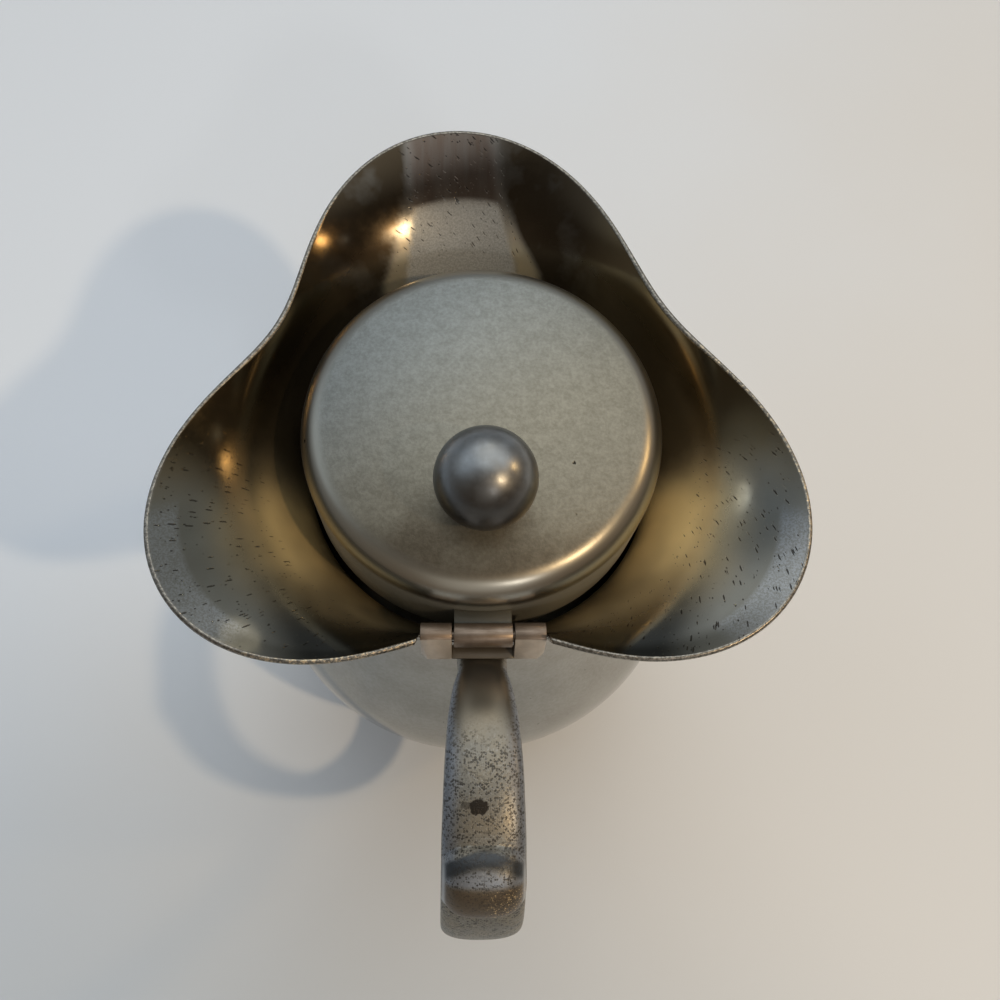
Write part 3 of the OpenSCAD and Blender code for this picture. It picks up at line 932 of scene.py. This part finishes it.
def brim_places(body, brim):
    """All columns of the brim, from one side of the hinge's cut round to the other, then the cut."""
    columns, cut_columns = 260, 8
    sliver = radians(0.3)
    low = brim.notch_floor / brim.rise(body, 0)

    def all_round(s):
        return lambda t: mix(brim.cut_angle(body, t), tau - brim.cut_angle(body, t), s)

    def across_cut(s):
        return lambda t: (brim.cut_angle(body, t) - sliver) * (2 * s - 1)

    full = [brim_column(body, brim, all_round(s)) for s in arc(0, 1, columns)]
    cut = [brim_column(body, brim, across_cut(s), low) for s in arc(0, 1, cut_columns)]
    return full + cut


def brim_point(body, brim, angle, t, inset):
    """Where a place of the brim lies."""
    wall = mix(body.wall, brim.edge_wall, t)
    radius, height = brim.outside(body, angle, t) + inset * wall * brim.inward(body, angle, t)
    return Vector((-radius * sin(angle), -radius * cos(angle), height))


def sheet_place(body, brim, angle, t):
    """Where a place lies on the flat sheet, turned so that the dash-like pits run along the first axis."""
    turn = brim.dash_turn(angle)
    around = angle * brim.rim_r
    up = (brim.outside(body, angle, t) - brim.outside(body, angle, 0)).length
    return cos(turn) * around + sin(turn) * up, cos(turn) * up - sin(turn) * around


def brim_layers(body, brim, angle, t, inset):
    """How strongly each layer of colour and wear shows at one place of the brim."""
    inside = smooth(0.4, 0.9, inset)
    high = max(0, (t - 0.5) / 0.5)
    to_edge = (1 - t) * brim.pace(body, angle)
    from_hinge = min(angle, tau - angle)
    front = near(angle, FRONT_CORNER, 28, 50)
    across = brim.outside(body, angle, t)[0] * abs(angle - radians(FRONT_CORNER))
    up_panel = min(1, high / 0.68)
    # Where the lid's painted reflection lies in the front corner, narrower higher up
    panel = smooth(0.7 * MM, -0.7 * MM, across - mix(9.9, 6.9, up_panel) * MM)
    wedge = smooth(1.5 * MM, -MM, across - mix(14, 7.6, up_panel) * MM)
    bright = max(brim.polished(angle), wedge)
    # Strength of the golden painted reflection and patination: strong low down, weaker in the front corner
    # and towards the back
    golden = smooth(0.8, 0, high) * mix(0.95, 0.3, front) * mix(0.3, 1, bright)
    golden *= mix(0.5, 1, smooth(radians(38), radians(68), from_hinge))
    left = smooth(radians(200), radians(120), angle) * (1 - front)
    left *= mix(0.75, 1, smooth(0, 0.3, high))
    left *= mix(0.6, 1, smooth(radians(44), radians(64), angle))
    back_band = smooth(radians(62), radians(46), from_hinge) * smooth(0.78, 0.92, high)
    right_fold = near(angle, 264, 6, 17) * smooth(0.2, 0.5, high)
    glint_left = smooth(radians(52), radians(34), angle)
    glint_right = near(angle, 268, 12, 30)
    inner_layers = {
        "inner": 1,
        "side": 1 - front,
        # Painted dark reflection with some real tarnishing, outside the bright corners
        "tarnish": 1 - bright,
        "patina": golden,
        "panel": panel * smooth(0.62, 0.54, high),
        "blush": smooth(9.5 * MM, 6 * MM, across) * smooth(0.5, 0.62, high),
        # Painted silvery reflection near the edge of the side corners
        "silver": near(from_hinge, 60, 11, 15) * smooth(5.4 * MM, 4.6 * MM, to_edge),
        "shade": max(left, 0.9 * back_band, 0.4 * panel * high, 0.8 * right_fold),
        "low": smooth(0.75, 0.25, high),
        "pitted": smooth(0, 0.4, bright) * smooth(0.02, 0.1, high),
    }
    layers = {name: inside * strength for name, strength in inner_layers.items()}
    layers["edge"] = smooth(1.3, 0.9, to_edge / brim.edge_round)
    layers["glint"] = max(glint_left, glint_right, 0.15)
    return layers


class JUG_OT_body(bpy.types.Operator):
    """Make the foot and the two bowls"""

    bl_idname = "jug.body"
    bl_label = "Foot and bowls"
    bl_options = {"REGISTER", "UNDO"}

    def execute(self, context):
        jug = context.scene.jug
        body = jug.body
        finish = body_finish(jug.finish)
        foot = spun("foot", soften(foot_outline(body), body.foot_soft))
        seat(foot, "foot_ring", "jug", finish)
        bowls = (
            ("bowl_lower", lower_outline(body), "lower_bowl"),
            ("bowl_upper", upper_outline(body), "upper_bowl"),
        )
        for name, outline, node in bowls:
            bowl = spun(name, outline)
            paint_film(bowl, body)
            seat(bowl, node, "jug", finish)
        return {"FINISHED"}


class JUG_OT_brim(bpy.types.Operator):
    """Make the three-cornered brim with its folds and the cut for the hinge"""

    bl_idname = "jug.brim"
    bl_label = "Three-cornered brim"
    bl_options = {"REGISTER", "UNDO"}

    def execute(self, context):
        jug = context.scene.jug
        body, brim = jug.body, jug.brim
        columns = brim_places(body, brim)
        loops = [[brim_point(body, brim, *place) for place in column] for column in columns]
        piece = skinned("brim", loops, joined=True)
        places = [place for column in columns for place in column]
        paint_layers(piece, [brim_layers(body, brim, *place) for place in places])
        unroll(piece, [sheet_place(body, brim, angle, t) for angle, t, inset in places])
        seat(piece, "tricorn_brim", "jug", brim_finish(jug.finish))
        return {"FINISHED"}


def strap_section(handle, body, brim, u, count):
    """Points round the strap's section, u curves along it, each with how far it faces up."""
    middle, out = handle.middle(u)
    at_end = u in (0, 3)
    power = 2 / handle.square
    section = []
    for j in range(count):
        a = tau * j / count
        side = handle.half_width(u) * copysign(abs(cos(a)) ** power, cos(a))
        lift = handle.strap_h / 2 * copysign(abs(sin(a)) ** power, sin(a))
        if sin(a) > 0.1:
            lift += handle.thumb_rise(u, side)
        back, height = middle + lift * out
        if at_end:
            wall_r = brim.back_r(body, height) if height > body.neck_top else body.outside_r(height)
            back = sqrt(wall_r ** 2 - side * side)
        section.append((Vector((side, -back, height)), sin(a)))
    return section


def handle_layers(handle, u, point, up):
    """How strongly bare metal, wear and the thumb rest's bands of painted reflection and glints show at one
    point of the strap.
    """
    along = handle.thumb_along(u)
    side = abs(point.x) / handle.half_width(u)
    top = smooth(0.05, 0.4, up)
    before_rest = smooth(0.25, 0.35, u) * smooth(1.6, 1.3, u)
    below_arch = along + 1 - 0.45 * side * side
    above_foot = 1 - 0.3 * side * side - along
    rest = top * smooth(0, 0.08, below_arch) * smooth(-0.02, 0.05, above_foot)
    foot_line = smooth(0.12, 0.04, abs(above_foot))
    sides = smooth(0.88, 0.92, side) * smooth(0.99, 0.95, side) * smooth(-0.8, -0.3, along) * 0.7
    return {
        # Smooth root, its brown partly a painted dark reflection
        "bare": smooth(1, 0.68, u) * top * smooth(0.9, 0.7, side),
        "bevel": top * smooth(0.5, 0.85, side) * before_rest,
        # Bands of painted reflection on the thumb rest
        "slate": rest * smooth(0.5, 0.3, below_arch),
        "frost": rest * smooth(0.3, 0.5, below_arch) * smooth(-0.05, -0.25, along),
        "brown": rest * smooth(-0.25, -0.05, along),
        # Where the painted golden glints show
        "gold": rest * smooth(-0.2, 0, along) * smooth(-0.5 * MM, 2 * MM, point.x),
        "edge": top * max(foot_line, sides * smooth(0.06, 0.12, above_foot)),
    }


class JUG_OT_handle(bpy.types.Operator):
    """Make the strap handle with its thumb rest"""

    bl_idname = "jug.handle"
    bl_label = "Strap handle"
    bl_options = {"REGISTER", "UNDO"}

    def execute(self, context):
        jug = context.scene.jug
        # The rows lie closer together on the thumb rest
        rest_start, rest_end, end, around = 1.2, 1.74, 3, 72
        rows = arc(0, rest_start, 48)[:-1] + arc(rest_start, rest_end, 72)[:-1] + arc(rest_end, end, 48)
        sections = [strap_section(jug.handle, jug.body, jug.brim, u, around) for u in rows]
        loops = [[point for point, up in section] for section in sections]
        piece = skinned("strap_handle", loops, joined=False)
        spots = [(u, point, up) for u, section in zip(rows, sections) for point, up in section]
        paint_layers(piece, [handle_layers(jug.handle, *spot) for spot in spots])
        seat(piece, "handle", "jug", handle_finish(jug.finish))
        return {"FINISHED"}


def bracket_profile(body, hinge, x, with_lug):
    """Outline of the bracket across the hinge at one place along it, as distance and height."""
    # Where the barrel's round passes into the slanted face, and the least depth of the plate's heel
    slant_from, heel_depth = pi - asin(0.8), 0.2 * MM
    half = hinge.width / 2
    back = -hinge.plate_back + max(0, abs(x) - half + hinge.bevel)
    seat_y = -sqrt((body.top_r() + hinge.seat_gap) ** 2 - x * x)
    top = hinge.plate_z + hinge.plate_h
    front = hinge_place.y + hinge.knuckle_r
    heel = max(-hinge.plate_heel, back + heel_depth)
    outline = [Vector((back, top)), Vector((back, top - hinge.plate_edge)), Vector((heel, hinge.plate_z))]
    outline.append(Vector((seat_y, hinge.plate_z)))
    if not with_lug:
        return outline + [Vector((seat_y, top))]
    outline += [Vector((seat_y, hinge.seat_z)), Vector((front, hinge.seat_z))]
    middle = Vector((hinge_place.y, hinge_place.z))
    for a in arc(0, slant_from, 18):
        outline.append(middle + hinge.knuckle_r * Vector((cos(a), sin(a))))
    return outline


def bar(profiles):
    """Loops of points from (x, outline) pairs, for a bar that runs along the hinge."""
    return [[Vector((x, y, z)) for y, z in outline] for x, outline in profiles]


def bevelled(piece, width):
    """Cuts a small bevel along every sharp edge and bakes it into the mesh."""
    bevel = piece.modifiers.new("edges", "BEVEL")
    bevel.width = width
    bevel.segments = 2
    bevel.limit_method = "ANGLE"
    bevel.angle_limit = radians(38)
    shown = piece.evaluated_get(bpy.context.evaluated_depsgraph_get())
    mesh = bpy.data.meshes.new_from_object(shown)
    piece.modifiers.clear()
    piece.data = mesh
    shade(mesh)
    return piece


def joined(name, pieces):
    """One object from several that touch."""
    shape = bmesh.new()
    for piece in pieces:
        shape.from_mesh(piece.data)
        bpy.data.objects.remove(piece)
    mesh = bpy.data.meshes.new(name)
    shape.to_mesh(mesh)
    shape.free()
    return linked(name, mesh)


class JUG_OT_hinge(bpy.types.Operator):
    """Make the bracket, the pin and the lid's knuckle"""

    bl_idname = "jug.hinge"
    bl_label = "Hinge"
    bl_options = {"REGISTER", "UNDO"}

    def execute(self, context):
        jug = context.scene.jug
        finish = brass_finish(jug.finish)
        seat(self.bracket(jug), "hinge_bracket", "jug", finish)
        seat(self.pin(jug.hinge), "hinge_pin", "jug", finish)
        seat(self.knuckle(jug), "lid_knuckle", "lid", finish)
        return {"FINISHED"}

    def bracket(self, jug):
        """Two lugs with their halves of the barrel, on a plate."""
        hinge, body = jug.hinge, jug.body
        half = hinge.width / 2
        inner = hinge.tab_w / 2 + hinge.gap
        stations = [inner, half - hinge.bevel, half]
        parts = []
        for side in (-1, 1):
            lug = [(side * x, bracket_profile(body, hinge, x, True)) for x in stations]
            parts.append(bevelled(skinned("lug", bar(lug), joined=False), hinge.edge))
        plate = [(x, bracket_profile(body, hinge, x, False)) for x in arc(-inner, inner, 12)]
        parts.append(bevelled(skinned("plate", bar(plate), joined=False), hinge.edge))
        plate_from = sum(len(part.data.vertices) for part in parts[:2])
        whole = joined("hinge_lugs", parts)
        behind, skin_on_plate = hinge_place.y - 0.55 * hinge.knuckle_r, 0.7
        spots = list(enumerate(vertex.co.y for vertex in whole.data.vertices))
        paint(whole, "slant", [1 if i < plate_from and y < behind else 0 for i, y in spots])
        paint(whole, "tab", [0 if i < plate_from else skin_on_plate for i, y in spots])
        return whole

    def pin(self, hinge):
        """A pin with low domed ends."""
        half, r = hinge.width / 2, hinge.pin_r
        dome = 0.1 * MM
        turns = arc(0, tau, 40)[:-1]
        profile = [(-half - dome, 0.3 * r), (-half - 0.4 * dome, 0.75 * r), (-half, r)]
        profile += [(-x, radius) for x, radius in profile[::-1]]
        loops = [
            [hinge_place + Vector((x, radius * cos(a), radius * sin(a))) for a in turns]
            for x, radius in profile
        ]
        return skinned("hinge_rod", loops, joined=False)

    def knuckle(self, jug):
        """The lid's barrel with the tab that runs in to the lid's edge."""
        hinge, lid = jug.hinge, jug.lid
        r, half = hinge.knuckle_r, hinge.tab_w / 2
        low = hinge_place.z - r
        into_wall, skin_from = 0.6 * MM, hinge_place.y + r - 0.3 * MM
        tab_end = -(lid.lid_r - into_wall)
        turn = asin((hinge.tab_h - r) / r)
        outline = [Vector((tab_end, low)), Vector((tab_end, low + hinge.tab_h))]
        for a in arc(turn, 3 * pi / 2, 36):
            outline.append(Vector((hinge_place.y + r * cos(a), hinge_place.z + r * sin(a))))
        loops = bar([(-half, outline), (half, outline)])
        piece = bevelled(skinned("lid_barrel", loops, joined=False), hinge.edge)
        # The tab's painted shade, on the part of the knuckle that runs in under the lid's edge
        paint(piece, "tab", [1 if vertex.co.y > skin_from else 0 for vertex in piece.data.vertices])
        return piece


def lid_outline(lid, inset):
    """The lid's edge, shoulder and dome from the outside in to the axis, set in by a distance."""
    outline = [Vector((lid.lid_r - inset, lid.lid_z))]
    r = lid.shoulder_r - inset
    for a in arc(0, pi / 2 - lid.dome_angle(), 24):
        outline.append(Vector((lid.edge_r() + r * cos(a), lid.shoulder_z() + r * sin(a))))
    edge = lid.dome_edge()[0]
    for radius in arc(edge, 0, 40)[1:]:
        outline.append(Vector((radius, lid.dome_top(radius) - inset)))
    return outline


class JUG_OT_lid(bpy.types.Operator):
    """Make the lid, its bezel and its ball knob"""

    bl_idname = "jug.lid"
    bl_label = "Lid and knob"
    bl_options = {"REGISTER", "UNDO"}

    def execute(self, context):
        jug = context.scene.jug
        lid = jug.lid
        finish = lid_finish(jug.finish, lid)
        shell = lid_outline(lid, 0) + lid_outline(lid, lid.wall)[::-1]
        cap = spun("lid_cap", soften(shell, lid.edge), columns=240)
        seat(cap, "lid_shell", "lid", finish)
        ring = spun("lid_ring", soften(self.bezel_outline(lid), lid.edge))
        seat(ring, "lid_bezel", "lid", finish)
        ball = spun("lid_ball", soften(self.knob_outline(lid), lid.edge), (0, -lid.ball_back), 128)
        seat(ball, "ball_knob", "lid", knob_finish(jug.finish))
        return {"FINISHED"}

    def bezel_outline(self, lid):
        """A ring inside the lid's edge with a short tube that drops into the neck."""
        inner, outer = lid.bezel_r - lid.bezel_wall, lid.lid_r - lid.wall
        low, high = lid.lid_z - lid.bezel_drop, lid.lid_z + lid.bezel_flange
        corners = [
            (inner, low), (lid.bezel_r, low), (lid.bezel_r, lid.lid_z), (outer, lid.lid_z), (outer, high),
            (inner, high),
        ]
        return [Vector(corner) for corner in corners]

    def knob_outline(self, lid):
        """A ball on a short waisted neck, turned in one piece with its stud."""
        base, centre = lid.ball_seat(), lid.lid_z + lid.ball_rise
        waist, waist_z = 0.8 * lid.stem_r, base + 1.4 * MM
        collar_z, end = base + 0.8 * MM, base - lid.wall - 1.4 * MM
        foot = [
            (0, end), (lid.stud_r, end), (lid.stud_r, base), (lid.stem_r, base),
            (lid.stem_r, collar_z), (waist, waist_z),
        ]
        ball = [
            (lid.ball_r * sin(a), centre - lid.ball_r * cos(a))
            for a in arc(asin(waist / lid.ball_r), pi, 64)[:-1]
        ]
        return [Vector(p) for p in foot + ball + [(0, centre + lid.ball_r)]]


# Stage

def room_light():
    """A dim room, brown behind and cool in front, with soft windows and a few small bright panes."""
    world = bpy.data.worlds.new("room")
    bpy.context.scene.world = world
    world.use_nodes = True
    nodes = Nodes(world.node_tree)
    place = nodes.add("TexCoord", "Generated")
    height = nodes.add("SeparateXYZ", "Z", {0: place})
    towards_front = nodes.along(place, (-0.33, 0.93, 0.15))
    walls = (
        (0, (0.17, 0.13, 0.095)),
        (0.4, (0.17, 0.155, 0.135)),
        (0.7, (0.18, 0.18, 0.18)),
        (1, (0.2, 0.22, 0.24)),
    )
    nodes.base = nodes.ramp(nodes.step(towards_front, -1, 1), walls)
    front = nodes.step(nodes.along(place, (0.15, 0.62, 0.77)), 0.66, 0.92)
    nodes.over(front * nodes.step(height, 0.3, 0.75), (1.5, 1.58, 1.62))
    windows = (
        ((-0.68, 0.3, 0.67), 0.84, 0.97, (0.55, 0.62, 0.69)),
        ((-0.66, 0.37, 0.65), 0.9935, 0.9965, (2.4, 2.7, 3.0)),
        ((0.81, -0.03, 0.58), 0.9955, 0.9985, (7, 7.5, 8)),
        ((0.12, 0.76, 0.64), 0.995, 0.998, (3.0, 2.9, 2.6)),
    )
    for way, border, full, tone in windows:
        nodes.over(nodes.step(nodes.along(place, way), border, full), tone)
    aside = nodes.add("Math", 0, {0: nodes.along(place, (1, 0, 0))}, operation="ABSOLUTE")
    back = nodes.step(aside, 0.42, 0.2) * nodes.step(towards_front, -0.25, -0.5)
    nodes.over(back * nodes.step(height, 0.1, 0.4), (0.5, 0.48, 0.45))
    nodes.put(nodes.tree.nodes["Background"].inputs["Color"], nodes.base)


def lamp(name, place, breadth, power, tone):
    """A square lamp at a place in millimetres, which faces the jug."""
    light = bpy.data.lights.new(name, "AREA")
    light.size = breadth * MM
    light.energy = power
    light.color = tone
    holder = linked(name, light)
    holder.location = Vector(place) * MM
    middle = Vector((0, 0, 60 * MM))
    holder.rotation_euler = (holder.location - middle).to_track_quat("Z", "Y").to_euler()


def floor_finish(stage):
    """A pale floor, cooler at the front left from painted cool light and darker to the back from a painted
    shade, with the faintest clouds.
    """
    finish = Finish("pale_floor", 0.6, stage.floor_warm)
    finish.shader.inputs["Metallic"].default_value = 0
    clouds = finish.blotches(120, 0.2, -20 * MM, 20 * MM)
    # Painted cool light towards the front left
    front_left = finish.along(finish.place, (-0.8, 0.6, 0)) + clouds
    finish.over(finish.step(front_left, -90 * MM, 130 * MM), stage.floor_cool)
    # Painted shade towards the back
    to_back = finish.along(finish.place, (-0.5, -0.87, 0))
    finish.over(finish.step(to_back, 10 * MM, 140 * MM), stage.floor_back, "MULTIPLY")
    return finish.coat()


class JUG_OT_stage(bpy.types.Operator):
    """Make the floor, the lamps and the camera"""

    bl_idname = "jug.stage"
    bl_label = "Floor, light and camera"
    bl_options = {"REGISTER", "UNDO"}

    def execute(self, context):
        stage = context.scene.jug.stage
        rim = [Vector((stage.floor_r * cos(a), stage.floor_r * sin(a), 0)) for a in arc(0, tau, 96)[:-1]]
        floor = new_piece("floor", rim, [tuple(range(len(rim)))])
        floor.data.materials.append(floor_finish(stage))
        room_light()
        lamp("key", (489, -333, 805), 32, stage.key_power, (1, 0.76, 0.48))
        lamp("back_window", (450, -1300, 1250), 130, stage.back_power, (1, 0.98, 0.95))
        lamp("side_lamp", (835, 193, 620), 85, stage.side_power, (1, 0.66, 0.3))
        self.camera(context.scene, stage)
        context.scene.view_settings.view_transform = "Standard"
        return {"FINISHED"}

    def camera(self, scene, stage):
        """The camera above the handle, looking down on the lid."""
        data = bpy.data.cameras.new("camera")
        data.lens = stage.focal
        data.sensor_width = 36
        data.clip_start = 5 * MM
        camera = linked("camera", data)
        camera.location = Vector((-4.36, -61.16, 244.95)) * MM
        turn = Matrix.Rotation(radians(-7.94), 3, "Z")
        tilt = Matrix.Rotation(radians(19.36), 3, "X")
        roll = Matrix.Rotation(radians(7.8), 3, "Z")
        camera.rotation_euler = (turn @ tilt @ roll).to_euler()
        scene.camera = camera


class JUG_PT_panel(bpy.types.Panel):
    """Lists the jug's operators in the sidebar"""

    bl_idname = "JUG_PT_panel"
    bl_label = "Lidded jug"
    bl_space_type = "VIEW_3D"
    bl_region_type = "UI"
    bl_category = "Jug"

    def draw(self, context):
        for operator in OPERATORS:
            self.layout.operator(operator.bl_idname)


GROUPS = (JugBody, JugBrim, JugHandle, JugHinge, JugLid, JugFinish, JugStage, JugSettings)
OPERATORS = (JUG_OT_body, JUG_OT_brim, JUG_OT_handle, JUG_OT_hinge, JUG_OT_lid, JUG_OT_stage)
CLASSES = GROUPS + OPERATORS + (JUG_PT_panel,)


def register():
    """Adds the jug's classes and settings to Blender."""
    for cls in CLASSES:
        bpy.utils.register_class(cls)
    bpy.types.Scene.jug = PointerProperty(type=JugSettings)


def unregister():
    """Takes the jug's classes and settings out again."""
    del bpy.types.Scene.jug
    for cls in reversed(CLASSES):
        bpy.utils.unregister_class(cls)


def main():
    """Makes every piece and the stage."""
    register()
    bpy.ops.jug.body()
    bpy.ops.jug.brim()
    bpy.ops.jug.handle()
    bpy.ops.jug.hinge()
    bpy.ops.jug.lid()
    bpy.ops.jug.stage()


if __name__ == "__main__":
    main()
